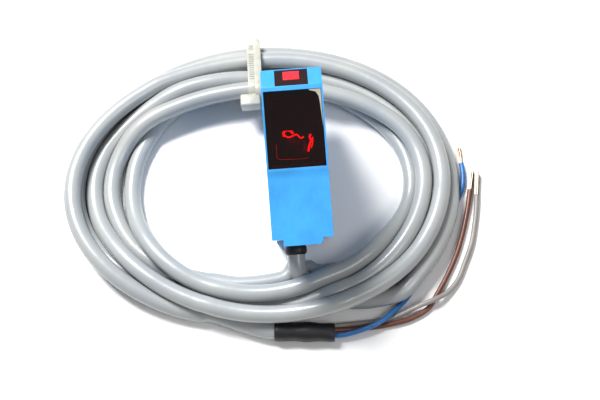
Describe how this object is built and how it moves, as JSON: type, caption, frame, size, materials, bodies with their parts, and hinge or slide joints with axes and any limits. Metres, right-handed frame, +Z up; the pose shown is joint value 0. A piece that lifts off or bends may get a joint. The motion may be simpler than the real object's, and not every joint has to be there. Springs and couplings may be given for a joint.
{
  "type": "photoelectric sensor",
  "caption": "Slim block-shaped photoelectric sensor in a painted metal housing, with a dark front window, a sloped indicator, a sensitivity dial and a coiled cable with free wire ends.",
  "frame": {"origin": "on the table, under the middle of the box around the leaned-back sensor, its free cable left out", "axes": "+X across the sensor's width; +Y towards the sensor's top end; +Z up from the table. The sensor lies on its back, leaned 70 degrees from upright, its window facing up"},
  "size_m": [0.1215, 0.0944, 0.0517],
  "materials": {
    "blue_paint": "semi-gloss",
    "black_rubber": "matte",
    "steel": "satin",
    "red_window": "gloss",
    "black_plastic": "matte",
    "clear_lens": "gloss",
    "red_led": "gloss",
    "circuit_board": "satin",
    "smoked_plastic": "gloss",
    "white_plastic": "satin",
    "grey_pvc": "satin",
    "black_sleeve": "satin",
    "blue_wire": "satin",
    "brown_wire": "satin",
    "grey_wire": "satin",
    "tinned_copper": "satin",
    "nylon_tie": "translucent"
  },
  "bodies": {
    "sensor": {"main_housing": "blue_paint", "rear_cover": "blue_paint", "cover_seal": "black_rubber", "cover_screws": "steel", "front_window": "red_window", "window_seal": "black_rubber", "lens_holder": "black_plastic", "sender_lens": "clear_lens", "receiver_lens": "clear_lens", "light_baffle": "black_plastic", "sender_led": "red_led", "receiver_photodiode": "black_plastic", "optics_board": "circuit_board", "main_board": "circuit_board", "board_components": "black_plastic", "indicator_window": "smoked_plastic", "indicator_light_guide": "red_led", "indicator_leds": "red_led", "potentiometer_body": "black_plastic", "cable_bushing": "black_rubber", "strain_relief_clamp": "steel", "inner_wires": "brown_wire", "cable_lead": "grey_pvc", "cable_coil": "grey_pvc", "cable_tail": "grey_pvc", "end_sleeve": "black_sleeve", "wire_blue": "blue_wire", "wire_brown": "brown_wire", "wire_grey": "grey_wire", "wire_tips": "tinned_copper", "cable_tie": "nylon_tie"},
    "dial": {"sensitivity_dial": "white_plastic", "potentiometer_rotor": "white_plastic", "dial_seal": "black_rubber"}
  },
  "joints": [
    {"name": "dial_turn", "type": "hinge", "parent": "sensor", "child": "dial", "pos_m": [0, 0.02218, 0.02892], "axis": [0, 0.9397, 0.342], "range_deg": [-135, 135]}
  ]
}
